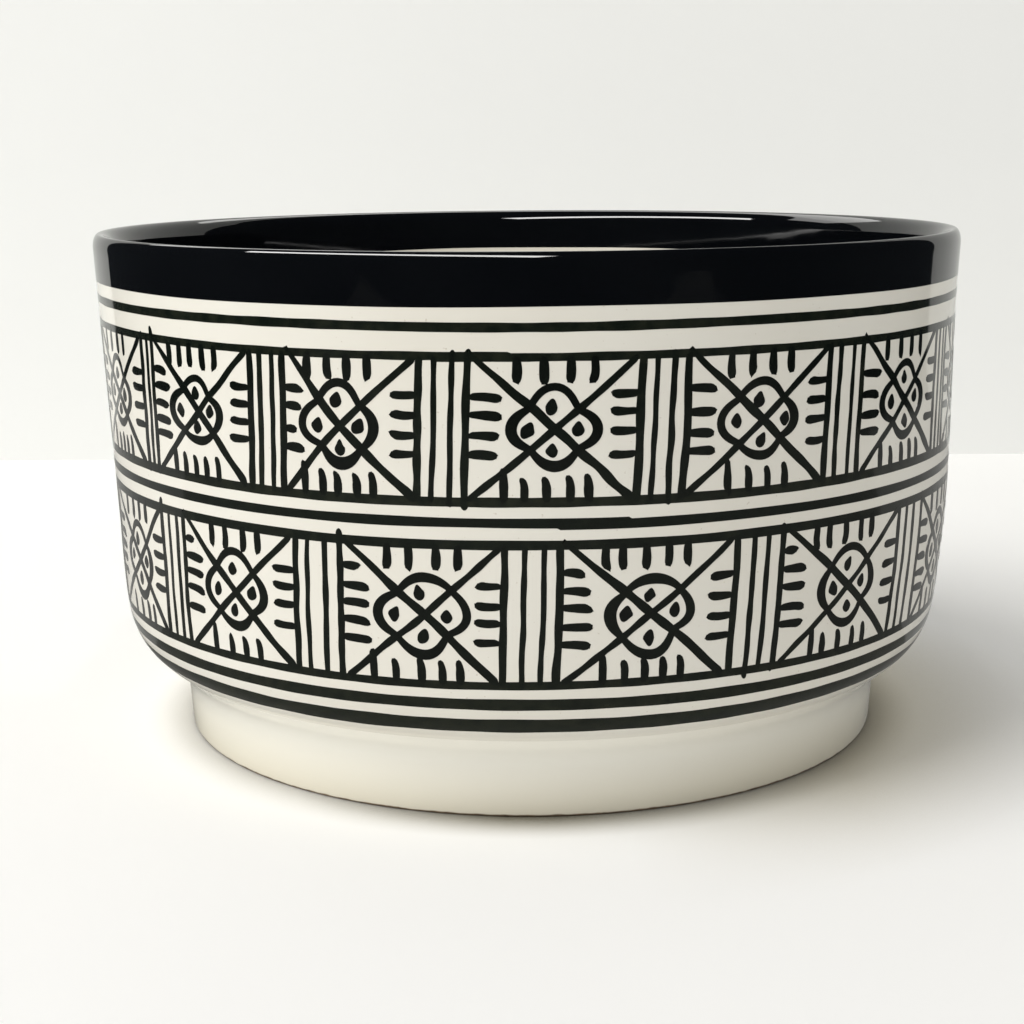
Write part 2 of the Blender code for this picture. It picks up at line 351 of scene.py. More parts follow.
# Heights of the painting's layers off the wall; a later stroke lies over an earlier one.
LIFT_LINE, LIFT_UPRIGHT, LIFT_DIAGONAL, LIFT_TICK, LIFT_FLOWER, LIFT_SEED = (
    h * MM for h in (0.030, 0.034, 0.038, 0.043, 0.048, 0.053)
)

# Each upright group is three or four angles. Each panel has the angle where its diagonals cross; the flower's
# radius in mm to N, NE, E, SE, S, SW, W, NW; its stroke's width at N, E, S, W; and the places of its ticks
# in mm from the crossing, along the top and bottom borders and up the left and right uprights.
UPPER_UPRIGHTS = [
    (-76.2, -75.0, -73.9, -72.8),
    (-53.7, -52.3, -51.0),
    (-33.1, -31.7, -29.9, -28.5),
    (-12.1, -10.5, -8.4, -6.8),
    (12.1, 13.75, 15.7, 17.3),
    (36.2, 37.9, 40.1, 41.8),
    (60.7, 62.2, 63.8, 65.4),
]
UPPER_PANELS = [
    (-62.9, (8.0, 5.8, 7.4, 6.1, 6.5, 6.3, 8.5, 6.5), (1.5, 2.0, 1.9, 2.0),
     (-8.3, -3.1, 1.9, 5.9), (-7.5, -3.4, -0.2, 2.8, 5.9), (6.2, 2.6, -0.9, -4.4), (6.2, 2.7, -1.2, -5.1)),
    (-41.8, (6.9, 4.9, 6.5, 5.8, 5.9, 6.4, 8.9, 6.3), (1.5, 2.1, 1.9, 2.2),
     (-8.6, -5.0, -1.6, 2.3, 6.0), (-9.1, -5.6, -2.0, 1.4, 5.1), (7.6, 4.2, 0.6, -2.8, -5.8),
     (6.2, 2.8, -0.8, -4.3)),
    (-21.2, (8.4, 6.0, 7.0, 6.2, 7.4, 5.7, 8.2, 6.6), (1.7, 2.2, 2.6, 1.7),
     (-6.6, -2.3, 1.9, 6.1), (-8.2, -4.2, -0.9, 3.1, 6.5), (6.8, 3.4, -1.2, -4.8), (6.4, 2.5, -1.4, -5.0)),
    (2.8, (8.2, 6.0, 8.1, 5.8, 7.0, 6.0, 8.2, 6.4), (1.5, 2.0, 2.2, 2.2),
     (-7.0, -2.0, 3.1, 7.6), (-9.7, -5.8, -1.6, 2.9, 6.4), (6.3, 2.8, -1.1, -4.8), (6.6, 3.3, -0.5, -5.0)),
    (26.9, (7.7, 6.3, 7.5, 5.6, 6.9, 6.8, 9.3, 7.1), (1.7, 2.2, 1.9, 1.7),
     (-7.3, -2.6, 2.0, 6.3), (-7.6, -2.9, 1.4, 5.5), (7.1, 2.5, -1.6, -5.1), (6.7, 3.0, -0.9, -5.3)),
    (51.4, (7.8, 6.0, 7.9, 6.8, 7.5, 6.2, 9.1, 6.9), (1.6, 2.2, 2.0, 2.0),
     (-7.8, -2.5, 2.2, 6.5), (-9.0, -5.0, -0.6, 3.1, 6.5), (6.8, 2.5, -1.7, -5.1), (6.7, 3.0, -0.9, -5.1)),
]
LOWER_UPRIGHTS = [
    (-77.2, -75.4, -73.6, -71.8),
    (-52.1, -50.3, -48.5, -46.9),
    (-28.0, -26.3, -24.1, -22.1),
    (-3.0, -0.7, 1.4, 3.2),
    (23.9, 26.1, 28.0, 30.1),
    (51.2, 53.2, 55.3, 57.9),
    (77.6, 79.5, 81.4, 83.4),
]
LOWER_PANELS = [
    (-60.6, (8.2, 6.5, 7.0, 6.6, 8.2, 6.7, 8.6, 6.5), (1.6, 2.2, 2.2, 2.3),
     (-7.0, -1.9, 2.2, 6.2), (-7.4, -1.9, 2.8, 6.2), (7.0, 3.6, 0.6, -2.4, -5.6), (6.8, 3.1, -0.6, -4.3)),
    (-37.4, (8.7, 7.0, 7.9, 6.0, 7.2, 6.8, 8.8, 7.2), (1.7, 2.2, 2.2, 1.9),
     (-6.2, -2.0, 3.1, 7.1), (-7.6, -2.5, 1.7, 5.7), (9.3, 5.6, 2.2, -1.2, -5.5), (6.7, 3.1, -0.6, -5.0)),
    (-12.0, (7.6, 7.6, 8.6, 6.2, 8.2, 7.3, 9.5, 6.8), (2.0, 1.7, 2.1, 2.1),
     (-7.1, -2.7, 2.8, 7.1), (-10.9, -6.2, -0.9, 3.4, 7.0), (9.0, 5.0, 1.6, -2.0, -5.8),
     (6.1, 2.0, -1.4, -5.3)),
    (13.9, (7.0, 7.2, 7.9, 5.8, 8.5, 7.6, 8.5, 7.0), (2.2, 1.9, 2.1, 2.5),
     (-9.5, -6.1, -1.4, 3.2, 7.0), (-9.8, -5.3, -1.2, 2.6, 6.3), (8.8, 5.1, 1.6, -2.2, -5.8),
     (6.5, 2.3, -1.9, -6.0)),
    (41.3, (8.2, 7.4, 7.7, 6.1, 8.1, 7.3, 8.2, 7.3), (1.7, 2.1, 2.0, 2.4),
     (-10.4, -6.8, -1.8, 3.0, 6.7), (-9.9, -6.5, -1.7, 3.0, 6.7), (9.8, 5.9, 2.2, -2.0, -5.6),
     (6.5, 2.3, -1.9, -6.0)),
    (67.1, (8.2, 7.2, 7.9, 6.2, 8.0, 7.0, 8.6, 7.0), (1.8, 2.1, 2.1, 2.2),
     (-8.2, -3.2, 1.9, 6.0), (-8.6, -4.0, 0.6, 4.8), (7.8, 4.0, 0.3, -3.4, -6.7), (6.6, 2.6, -1.4, -5.4)),
]
# Strokes that run past a border, in mm: angle of the upright, past the top, past the bottom.
UPPER_OVERRUNS = {-51.0: (1.7, 0.0), -8.4: (0.5, 0.0), -6.8: (0.7, 0.6), -53.7: (0.3, 0.0), 15.7: (0.0, 0.2)}
LOWER_OVERRUNS = {-52.1: (1.4, 0.0), -22.1: (1.1, 0.0), 26.1: (0.0, 0.8), 30.1: (0.4, 0.0)}

FRIEZES = {
    "upper_frieze": dict(
        panels=16, uprights=UPPER_UPRIGHTS, drawn=UPPER_PANELS, borders=(1.9, 1.6), lean=1.2,
        overruns=UPPER_OVERRUNS, seam_angles=(150.0, -10.5), seed=11,
    ),
    "lower_frieze": dict(
        panels=14, uprights=LOWER_UPRIGHTS, drawn=LOWER_PANELS, borders=(1.7, 1.9), lean=0.9,
        overruns=LOWER_OVERRUNS, seam_angles=(205.0, 120.0), seed=29,
    ),
}


def round_line(strokes, low, high, seam_angle, drift=0.25, lift=LIFT_LINE):
    """A line all round the bowl, begun and ended at the seam with a short overlap."""
    start = math.radians(seam_angle)
    turns = np.linspace(start, start + FULL_TURN + math.radians(9.0), AROUND + 14)
    s = turns * REF_RADIUS
    away = s - s[0]
    height = (low + high) / 2 + drift * MM * (away / away[-1] - 0.5)
    height = height + 0.10 * MM * strokes.wave(away, 40 * MM, 160 * MM)
    width = (high - low) * (1 + 0.05 * strokes.wave(away, 9 * MM, 45 * MM))
    ease = np.clip(np.minimum(away, away[-1] - away) / (1.2 * MM), 0.0, 1.0)
    width = width * np.maximum(np.sqrt(1 - (1 - ease) ** 2), 0.3)
    strokes.add(np.stack([s, height], -1), width, lift, strokes.tone(), columns=6)


def upright_groups(spec):
    """Angles of every group of uprights: those listed above, then even ones round the back."""
    groups = [list(g) for g in spec["uprights"]]
    hidden = spec["panels"] - (len(groups) - 1)
    first, last = np.mean(groups[0]) + 360.0, np.mean(groups[-1])
    spacing = (first - last) / hidden
    for i in range(1, hidden):
        centre = last + i * spacing
        groups.append([centre + x for x in (-2.6, -0.9, 0.9, 2.6)])
    return groups


def flower_path(radii, corner_angle):
    """The four-lobed outline: full at the cardinal directions, pinched where it crosses the diagonals."""
    upper, side = math.pi / 2, corner_angle
    bearings = [upper, side, 0.0, -side, -upper, side - math.pi, -math.pi, -math.pi - side, -3 * upper]
    points, fullness = [], []
    for k in range(8):
        a0, a1 = bearings[k], bearings[k + 1]
        r0, r1 = radii[k], radii[(k + 1) % 8]
        for t in np.arange(10) / 10:
            lobe = (1 - t) if k % 2 == 0 else t
            peak = 1.9 if k in (7, 0, 3, 4) else 1.5
            full = math.sin(math.pi / 2 * lobe) ** peak
            cardinal, pinch = (r0, r1) if k % 2 == 0 else (r1, r0)
            r = (pinch + (cardinal - pinch) * full) * MM
            a = a0 + (a1 - a0) * t
            points.append((r * math.cos(a), r * math.sin(a)))
            fullness.append((full, k // 2 if k % 2 == 0 else (k // 2 + 1) % 4))
    return np.array(points), fullness


def paint_panel(spec, layers, drawn, left, right, low, high, chance):
    """One panel between two uprights: diagonals, flower, seeds and the four rows of ticks."""
    cross_angle, radii, widths, top, bottom, left_rows, right_rows = drawn
    middle = (low + high) / 2
    lean = spec["lean"] * MM
    per_degree = math.radians(1.0) * REF_RADIUS
    cross = np.array([cross_angle * per_degree, middle])
    left_s, right_s = left * per_degree, right * per_degree

    def edge(s, z):
        """An upright's place at a height: it leans to the left going down."""
        return s + lean * (z - middle) / (high - low)

    def shaky(amount):
        return chance.gauss(0, amount) * MM

    diagonals, flowers, seeds, ticks = (layers[k] for k in ("diagonals", "flowers", "seeds", "ticks"))
    reach = 0.6 * MM
    top_left = (edge(left_s, high) + 0.4 * MM + shaky(0.3), high + reach)
    bottom_right = (edge(right_s, low) - 0.2 * MM + shaky(0.3), low - reach)
    bottom_left = (edge(left_s, low) + 0.2 * MM + shaky(0.2), low - reach)
    top_right = (edge(right_s, high) - 0.2 * MM + shaky(0.2), high + reach)
    nudge = np.array([shaky(0.12), shaky(0.12)])
    hook = (top_left[0] - 0.5 * MM, high + 1.3 * MM)
    falling = [w * MM for w in (0.9, 1.8, 1.75, 1.75)]
    diagonals.brush([hook, top_left, cross + nudge, bottom_right], falling, LIFT_DIAGONAL, tips=(0.3, 0.8))
    rising = [w * MM for w in (1.35, 1.45, 1.3)]
    above = LIFT_DIAGONAL + 0.003 * MM
    diagonals.brush([bottom_left, cross, top_right], rising, above, tips=(0.8, 0.5))

    corner_angle = math.atan2(high - low, right_s - left_s)
    outline, fullness = flower_path(radii, corner_angle)
    waist = 1.35
    width = np.array([waist + (widths[lobe] - waist) * full for full, lobe in fullness]) * MM
    flowers.add((cross + outline)[::-1], width[::-1], LIFT_FLOWER, flowers.tone(), closed=True)

    north, east, south, west = radii[0::2]
    for x, z in ((-0.7, 0.56 * north), (-0.62 * west, 0.1), (0.55 * east, 0.2), (-0.3, -0.56 * south)):
        at = cross + np.array([x * MM + shaky(0.25), z * MM + shaky(0.2)])
        tall, tilt = chance.uniform(1.3, 1.6) * MM, chance.gauss(0.14, 0.14)
        tip = at + np.array([tilt * tall, tall])
        foot = at - np.array([tilt * tall, tall])
        fat = chance.uniform(2.2, 2.65) * MM
        seeds.brush([tip, at, foot], (1.3 * MM, fat, fat * 0.9), LIFT_SEED, spread=0.05, tips=(0.6, 1.0),
                    step=0.3 * MM)

    half = (high - low) / 2
    under = 0.9 * MM
    for x in top:
        s = cross[0] + x * MM
        down = chance.uniform(4.0, 4.6) * MM
        sway = shaky(0.25)
        ticks.brush([(s + 0.3 * sway, high + under), (s, high - down / 2), (s + sway, high - down)],
                    (1.5 * MM, 1.75 * MM, 1.8 * MM), LIFT_TICK, spread=0.04, tips=(0.8, 0.8), step=0.6 * MM,
                    blunt=0.65)
    for i, x in enumerate(bottom):
        s = cross[0] + x * MM
        tall = i == 0 and x < -7.4
        up = (chance.uniform(5.3, 5.9) if tall else chance.uniform(3.9, 4.6)) * MM
        hook = (0.1 if tall else 0.45) * MM
        ticks.brush([(s, low - under), (s, low + up * 0.55), (s - hook, low + up)],
                    (1.6 * MM, 1.7 * MM, 1.25 * MM), LIFT_TICK, spread=0.04, tips=(0.8, 0.8), step=0.6 * MM,
                    blunt=0.5)
    for side, heights in ((-1, left_rows), (1, right_rows)):
        wall = left_s if side < 0 else right_s
        to_middle = abs(cross[0] - wall)
        lobe = radii[6 if side < 0 else 2] * MM
        for z in heights:
            height = middle + z * MM
            start = edge(wall, height)
            clear = min(to_middle * (half - abs(z) * MM) / half, to_middle - lobe * (1 - 0.06 * abs(z)))
            clear -= 1.9 * MM
            wanted = chance.uniform(5.3, 6.1) if side < 0 else chance.uniform(4.6, 5.3)
            long = max(min(wanted * MM, clear), 2.2 * MM)
            dip = (-0.3 if side < 0 else 0.15) * MM + shaky(0.12)
            widths = (1.35, 1.8, 1.9) if side < 0 else (1.4, 1.65, 1.8)
            ticks.brush(
                [(start + side * 0.3 * MM, height + 0.1 * MM), (start - side * long / 2, height),
                 (start - side * long, height + dip)],
                [w * MM for w in widths], LIFT_TICK, spread=0.05, tips=(0.8, 0.7), step=0.6 * MM, blunt=0.5,
            )


def paint_frieze(name, spec, finish):
    low_z, high_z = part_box(name)[0].z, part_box(name)[1].z
    seed = spec["seed"]
    kinds = ("borders", "uprights", "diagonals", "flowers", "seeds", "ticks")
    thinness = (0.75, 0.55, 0.5, 0.25, 0.1, 0.3)
    layers = {kind: Strokes(seed + i, thin) for i, (kind, thin) in enumerate(zip(kinds, thinness))}
    chance = random.Random(seed + 100)
    bottom_width, top_width = (w * MM for w in spec["borders"])
    round_line(layers["borders"], low_z, low_z + bottom_width, spec["seam_angles"][0])
    round_line(layers["borders"], high_z - top_width, high_z, spec["seam_angles"][1])
    low, high = low_z + bottom_width, high_z - top_width
    per_degree = math.radians(1.0) * REF_RADIUS
    groups = upright_groups(spec)
    for group in groups:
        for i, angle in enumerate(group):
            over_top, over_bottom = spec["overruns"].get(angle, (-0.7, -0.7))
            top = high + (top_width + over_top * MM)
            bottom = low - (bottom_width + over_bottom * MM)
            s, lean = angle * per_degree, spec["lean"] * MM / 2
            bend = chance.gauss(0, 0.18) * MM
            wide = chance.uniform(1.45, 1.7) if i in (0, len(group) - 1) else chance.uniform(1.1, 1.4)
            layers["uprights"].brush(
                [(s + lean, top), (s + bend, (top + bottom) / 2), (s - lean, bottom)],
                (wide * 0.95 * MM, wide * MM, wide * MM), LIFT_UPRIGHT, spread=0.09, tips=(0.4, 0.8),
            )
    count = spec["panels"]
    for k in range(count):
        here, after = groups[k], groups[(k + 1) % count]
        left = here[-1]
        right = after[0] + (360.0 if k == count - 1 else 0.0)
        drawn = list(spec["drawn"][k % len(spec["drawn"])])
        if k >= len(spec["drawn"]):
            drawn[0] = (left + right) / 2 + chance.gauss(0, 0.3)
        paint_panel(spec, layers, drawn, left + 0.4, right - 0.4, low, high, chance)
    for kind in kinds:
        layers[kind].piece(f"{name}_{kind}", finish, name)


# ---------------------------------------------------------------- materials


class Nodes:
    """Short calls for building one material's node tree."""

    def __init__(self, name):
        self.material = bpy.data.materials.new(name)
        self.material.use_nodes = True
        self.tree = self.material.node_tree
        self.shader = self.tree.nodes["Principled BSDF"]

    def add(self, kind, **values):
        node = self.tree.nodes.new(kind)
        for key, value in values.items():
            setattr(node, key, value)
        return node

    def link(self, source, target):
        self.tree.links.new(source, target)

    def noise(self, scale, detail=3.0, stretch=(1, 1, 1)):
        place = self.add("ShaderNodeTexCoord").outputs["Object"]
        if stretch != (1, 1, 1):
            mapping = self.add("ShaderNodeMapping")
            mapping.inputs["Scale"].default_value = stretch
            self.link(place, mapping.inputs["Vector"])
            place = mapping.outputs["Vector"]
        noise = self.add("ShaderNodeTexNoise")
        noise.inputs["Scale"].default_value = scale
        noise.inputs["Detail"].default_value = detail
        self.link(place, noise.inputs["Vector"])
        return noise.outputs["Fac"]

    def ramp(self, source, *stops):
        ramp = self.add("ShaderNodeValToRGB")
        elements = ramp.color_ramp.elements
        while len(elements) < len(stops):
            elements.new(0.5)
        for element, (at, colour) in zip(elements, stops):
            element.position = at
            element.color = (*colour, 1.0)
        self.link(source, ramp.inputs["Fac"])
        return ramp.outputs["Color"]

    def mix(self, amount, first, second, blend="MIX"):
        mix = self.add("ShaderNodeMix", data_type="RGBA", blend_type=blend)
        for key, value in (("Factor", amount), ("A", first), ("B", second)):
            socket = mix.inputs[key]
            if isinstance(value, (int, float)):
                socket.default_value = value
            elif isinstance(value, tuple):
                socket.default_value = (*value, 1.0)
            else:
                self.link(value, socket)
        return mix.outputs["Result"]

    def range(self, source, low, high, to_low, to_high):
        node = self.add("ShaderNodeMapRange")
        for key, value in (("From Min", low), ("From Max", high), ("To Min", to_low), ("To Max", to_high)):
            node.inputs[key].default_value = value
        self.link(source, node.inputs["Value"])
        return node.outputs["Result"]

    def bump(self, source, distance, strength=1.0):
        bump = self.add("ShaderNodeBump")
        bump.inputs["Distance"].default_value = distance
        bump.inputs["Strength"].default_value = strength
        self.link(source, bump.inputs["Height"])
        self.link(bump.outputs["Normal"], self.shader.inputs["Normal"])

    def set(self, **values):
        for key, value in values.items():
            self.shader.inputs[key.replace("_", " ")].default_value = value


def cream_colour(nodes):
    """Cream slip under clear glaze: soft clouds of warm and grey, and a few fine iron specks."""
    clouds = nodes.ramp(nodes.noise(22.0, 4.0), (0.30, (0.800, 0.770, 0.685)), (0.70, (0.835, 0.812, 0.735)))
    specks = nodes.range(nodes.noise(1400.0, 1.0), 0.74, 0.80, 0.0, 0.35)
    return nodes.mix(specks, clouds, (0.42, 0.34, 0.24))


def make_cream():
    nodes = Nodes("cream_glaze")
    nodes.link(cream_colour(nodes), nodes.shader.inputs["Base Color"])
    nodes.link(nodes.range(nodes.noise(160.0), 0.3, 0.7, 0.05, 0.10), nodes.shader.inputs["Roughness"])
    nodes.bump(nodes.noise(70.0, 2.0), 0.015 * MM)
    nodes.set(IOR=1.52)
    return nodes.material


def make_foot_glaze():
    """The same cream glaze, wiped off in an uneven line to bare tan clay where the ring stands.

    Painted light and shade: the glaze is paler than the bowl's cream, and darker and warmer over its lowest
    12 mm. The bare clay's own brown is painted darker as shade where the ring meets the table.
    """
    nodes = Nodes("foot_glaze")
    place = nodes.add("ShaderNodeTexCoord").outputs["Object"]
    split = nodes.add("ShaderNodeSeparateXYZ")
    nodes.link(place, split.inputs["Vector"])
    wiped = nodes.range(nodes.noise(300.0, 3.0), 0.2, 0.8, 0.20 * MM, 0.55 * MM)
    above = nodes.add("ShaderNodeMath", operation="SUBTRACT")
    nodes.link(split.outputs["Z"], above.inputs[0])
    nodes.link(wiped, above.inputs[1])
    bare = nodes.range(above.outputs["Value"], 0.0, 0.25 * MM, 1.0, 0.0)
    # painted shade: the clay's own brown is darkened to stand for the shade where the ring meets the table
    clay = nodes.ramp(nodes.noise(900.0, 5.0), (0.35, (0.17, 0.115, 0.07)), (0.70, (0.30, 0.215, 0.135)))
    # painted light and shade: paler than the cream above, darker and warmer towards the table over the lowest
    # 12 mm
    low = nodes.range(split.outputs["Z"], 1.0 * MM, 12.0 * MM, 1.0, 0.0)
    glaze = nodes.mix(low, nodes.mix(0.9, cream_colour(nodes), (0.98, 0.96, 0.87)), (0.85, 0.805, 0.67))
    nodes.link(nodes.mix(bare, glaze, clay), nodes.shader.inputs["Base Color"])
    nodes.link(nodes.range(bare, 0.0, 1.0, 0.09, 0.75), nodes.shader.inputs["Roughness"])
    nodes.bump(nodes.noise(90.0, 2.0, (1, 1, 4)), 0.02 * MM)
    nodes.set(IOR=1.52)
    return nodes.material


def make_black():
    nodes = Nodes("black_glaze")
    clouds = nodes.noise(40.0, 3.0)
    tint = nodes.ramp(clouds, (0.35, (0.0016, 0.0020, 0.0028)), (0.75, (0.0026, 0.0031, 0.0040)))
    nodes.link(tint, nodes.shader.inputs["Base Color"])
    nodes.link(nodes.range(nodes.noise(220.0), 0.3, 0.7, 0.02, 0.05), nodes.shader.inputs["Roughness"])
    nodes.bump(nodes.noise(55.0, 2.0), 0.02 * MM)
    nodes.set(IOR=1.55)
    return nodes.material


def make_paint():
    """Brushed charcoal under the glaze: each stroke has its own load of paint, thin places turn brown."""
    nodes = Nodes("charcoal_paint")
    load = nodes.add("ShaderNodeAttribute", attribute_name="tone").outputs["Fac"]
    streaks = nodes.noise(420.0, 4.0)
    thin = nodes.mix(0.55, load, streaks)
    colour = nodes.ramp(thin, (0.25, (0.0022, 0.0034, 0.0024)), (0.60, (0.0050, 0.0078, 0.0050)),
                        (0.85, (0.018, 0.0205, 0.0125)))
    nodes.link(colour, nodes.shader.inputs["Base Color"])
    nodes.link(nodes.range(nodes.noise(260.0), 0.3, 0.7, 0.06, 0.12), nodes.shader.inputs["Roughness"])
    nodes.bump(nodes.noise(70.0, 2.0), 0.015 * MM)
    nodes.set(IOR=1.52)
    return nodes.material


# ---------------------------------------------------------------- the bowl's pieces


def make_body(cream):
    """Wall and floor in one: the outside, over the lip, down the inside, and the flat under the floor."""
    under = [(r, FOOT_HEIGHT - 0.1 * MM) for r in np.linspace(0.0, FOOT_TOP_RADIUS - 0.6 * MM, 6)]
    profile = under + [tuple(p) for p in OUTER] + inner_profile()
    sunk = 0.12 * MM  # the black coat covers the lip, so the clay under it lies a little lower
    profile = [(r, z - sunk) if z > HEIGHT - 0.6 * MM else (r, z) for r, z in profile]
    piece = turned("bowl_body_glazed", profile, [cream])
    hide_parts("bowl_body")


def make_foot(finish):
    """The ring under the bowl, with a soft fillet of slip into the shoulder above it."""
    base_outer, base_inner = FOOT_BASE_RADIUS, FOOT_BASE_RADIUS - FOOT_BASE_WIDTH
    edge = 0.7 * MM
    outer_edge = quarter_round((base_outer - edge, 0.0), (base_outer, edge), 8)
    inner_edge = quarter_round((base_inner + edge, 0.0), (base_inner, edge), 8)
    flat = [(r, 0.0) for r in np.linspace(base_inner + edge, base_outer - edge, 6)[1:-1]]
    wall_top = 8.0 * MM
    wall = [
        (base_outer + 0.5 * MM * t, edge + (wall_top - edge) * t) for t in np.linspace(0.0, 1.0, 16)[1:]
    ]
    start = wall[-1]
    meet = int(np.searchsorted(OUTER[:, 0], FOOT_TOP_RADIUS + 5.5 * MM))
    end, slope = OUTER[meet], OUTER[meet + 1] - OUTER[meet - 1]
    slope = slope / np.linalg.norm(slope)
    end = end + 0.01 * MM * np.array([slope[1], -slope[0]])
    fillet = bezier(start, (start[0] + 0.3 * MM, start[1] + 5.6 * MM), end - 5.0 * MM * slope, end, 20)[1:]
    top_inner = FOOT_TOP_RADIUS - FOOT_TOP_WIDTH
    roof = [(end[0] - 1.0 * MM, end[1] + 0.9 * MM), (top_inner - 2.0 * MM, FOOT_HEIGHT + 0.3 * MM)]
    inside = bezier((top_inner - 2.0 * MM, FOOT_HEIGHT - 0.2 * MM), (top_inner, FOOT_HEIGHT - 0.4 * MM),
                    (top_inner, FOOT_HEIGHT - 2.0 * MM), (base_inner, edge), 16)[:-1]
    profile = inner_edge[::-1] + flat + outer_edge + wall + fillet + roof + inside
    piece = turned("foot_ring_glazed", profile, [finish], ring=True)
    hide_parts("foot_ring")


def make_rim_coat(black):
    """The black coat folded over the lip; its two lower edges run a little unevenly."""
    thick, buried, bevel, sunk = 0.05 * MM, 0.25 * MM, 0.03 * MM, 0.02 * MM
    turns = np.arange(AROUND) / AROUND * FULL_TURN
    outside = [(r, z) for r, z in OUTER if z > COAT_BOTTOM + 1.0 * MM]
    inside = [(r, z) for r, z in inner_profile() if z > COAT_BOTTOM + 0.3 * MM]
    over = outside + inside
    rows = []

    def wavy(phase):
        slow, fast = 0.10 * np.sin(2 * turns + phase), 0.07 * np.sin(5 * turns + 2 * phase)
        return (slow + fast + 0.04 * np.sin(11 * turns + phase)) * MM

    edge_out = COAT_BOTTOM + wavy(0.4)
    edge_in = COAT_BOTTOM - 0.6 * MM + wavy(2.2) * 1.5

    def row(r, z):
        r = r + hand_wobble(turns, z)
        z = np.broadcast_to(z, turns.shape)
        rows.append(np.stack([r * np.sin(turns), -r * np.cos(turns), z], -1))

    outer_r = np.array([side_radius(z) for z in edge_out])
    inner_r = np.array([inside_radius(z) for z in edge_in])
    row(outer_r - buried, edge_out - bevel)
    row(outer_r - sunk, edge_out - bevel)
    row(outer_r + thick, edge_out + bevel)
    for r, z in over:
        outward = thick if r > CREST[0] else (0.0 if r == CREST[0] else -thick)
        row(r + outward, z)
    row(inner_r - thick, edge_in + bevel)
    row(inner_r + sunk, edge_in - bevel)
    row(inner_r + buried, edge_in - bevel)
    for r, z in over[::-1]:
        inward = -buried if r > CREST[0] else (0.0 if r == CREST[0] else buried)
        row(r + inward, z - (0.35 * MM if z > HEIGHT - 1.5 * MM else 0.0))
    points = np.concatenate(rows)
    faces = []
    for k in range(len(rows)):
        a, b = k * AROUND, (k + 1) % len(rows) * AROUND
        for i in range(AROUND):
            j = (i + 1) % AROUND
            faces.append((a + i, a + j, b + j, b + i))
    piece = new_piece("rim_glaze_coat", points, faces, [black], sharp=40.0)
    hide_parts("rim_glaze")


def make_round_lines(paint):
    seams = {"rim_line": 100.0, "middle_line": 2.7, "base_line_narrow": 160.0, "base_line_wide": 60.0}
    for i, (node, seam) in enumerate(seams.items()):
        low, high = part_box(node)
        strokes = Strokes(50 + i, 1.0 if node.startswith("base") else 0.75)
        round_line(strokes, low.z, high.z, seam, drift=0.35 if node == "middle_line" else 0.2)
        strokes.piece(node + "_brushed", paint, node)


# ---------------------------------------------------------------- table, backdrop, light and camera

BACKDROP_Y = 0.343
BACKDROP_TALL = 0.62
BACKDROP_TURN = 0.003  # one end of the board stands this much farther back than the other


def flat(name, corners, finish, seen=True):
    """A flat sheet of the stage. What the glaze mirrors has sheets of its own, which the camera skips."""
    mesh = bpy.data.meshes.new(name)
    mesh.from_pydata(corners, [], [tuple(range(len(corners)))])
    mesh.materials.append(finish)
    sheet = bpy.data.objects.new(name, mesh)
    bpy.context.scene.collection.objects.link(sheet)
    sheet.visible_glossy = not seen
    if not seen:
        sheet.visible_camera = sheet.visible_diffuse = sheet.visible_shadow = False
    return sheet


def make_paper(name, colour, roughness):
    nodes = Nodes(name)
    soft = nodes.ramp(nodes.noise(6.0, 3.0), (0.3, tuple(c * 0.985 for c in colour)), (0.7, colour))
    nodes.link(soft, nodes.shader.inputs["Base Color"])
    nodes.set(Roughness=roughness)
    nodes.shader.inputs["Specular IOR Level"].default_value = 0.2
    return nodes


def upright_sheet(left, right, tall):
    y0, y1 = BACKDROP_Y - BACKDROP_TURN, BACKDROP_Y + BACKDROP_TURN
    return [(left, y0, 0), (right, y1, 0), (right, y1, tall), (left, y0, tall)]


def level_sheet(left, right, front, back):
    return [(left, front, 0), (right, front, 0), (right, back, 0), (left, back, 0)]


def make_stage():
    far = 6.0
    table = make_paper("table_paper", (0.97, 0.965, 0.95), 0.6)
    shade_near_foot(table)
    flat("floor", level_sheet(-far, far, -far, far), table.material)
    paper = make_paper("backdrop_paper", (0.90, 0.905, 0.885), 0.7)
    see_through_back(paper)
    board = flat("backdrop", upright_sheet(-0.45, 0.45, BACKDROP_TALL), paper.material)
    board.visible_shadow = False
    # The table seen in the glaze ends in front of the bowl, where the dark room begins. Painted shade: that
    # mirrored table is a darker copy of the table paper.
    left_end, right_end, waist = -0.50, 0.55, 0.12
    dim_front, front, back = -0.64, -0.47, 0.60
    flat(
        "floor_seen_in_glaze",
        [(left_end, front, 0), (right_end, front, 0), (right_end, 0, 0), (waist, 0, 0), (waist, back, 0),
         (-waist, back, 0), (-waist, 0, 0), (left_end, 0, 0)],
        make_paper("shaded_table_paper_in_glaze", (0.40, 0.395, 0.38), 0.6).material, seen=False,
    )
    # Painted shade: a still darker sheet in front, for the shade and body of the person at the camera.
    flat(
        "deep_shade_floor_seen_in_glaze", level_sheet(left_end, right_end, dim_front, front),
        make_paper("deep_shade_paper_in_glaze", (0.17, 0.175, 0.175), 0.6).material, seen=False,
    )
    # Painted light: the two sides behind the bowl, as the glaze mirrors them, are paper much lighter than the
    # middle.
    for side, left, right in (("left", left_end, -waist), ("right", waist, right_end)):
        flat(
            side + "_floor_seen_in_glaze", level_sheet(left, right, 0, back),
            make_paper(side + "_paper_in_glaze", (0.88, 0.875, 0.86), 0.6).material, seen=False,
        )
    # Painted shade: the backdrop the glaze mirrors is a darker copy of the board's paper.
    board = make_paper("backdrop_paper_in_glaze", (0.72, 0.73, 0.71), 0.7)
    see_through_back(board)
    flat("backdrop_seen_in_glaze", upright_sheet(-0.44, 0.595, BACKDROP_TALL), board.material, seen=False)


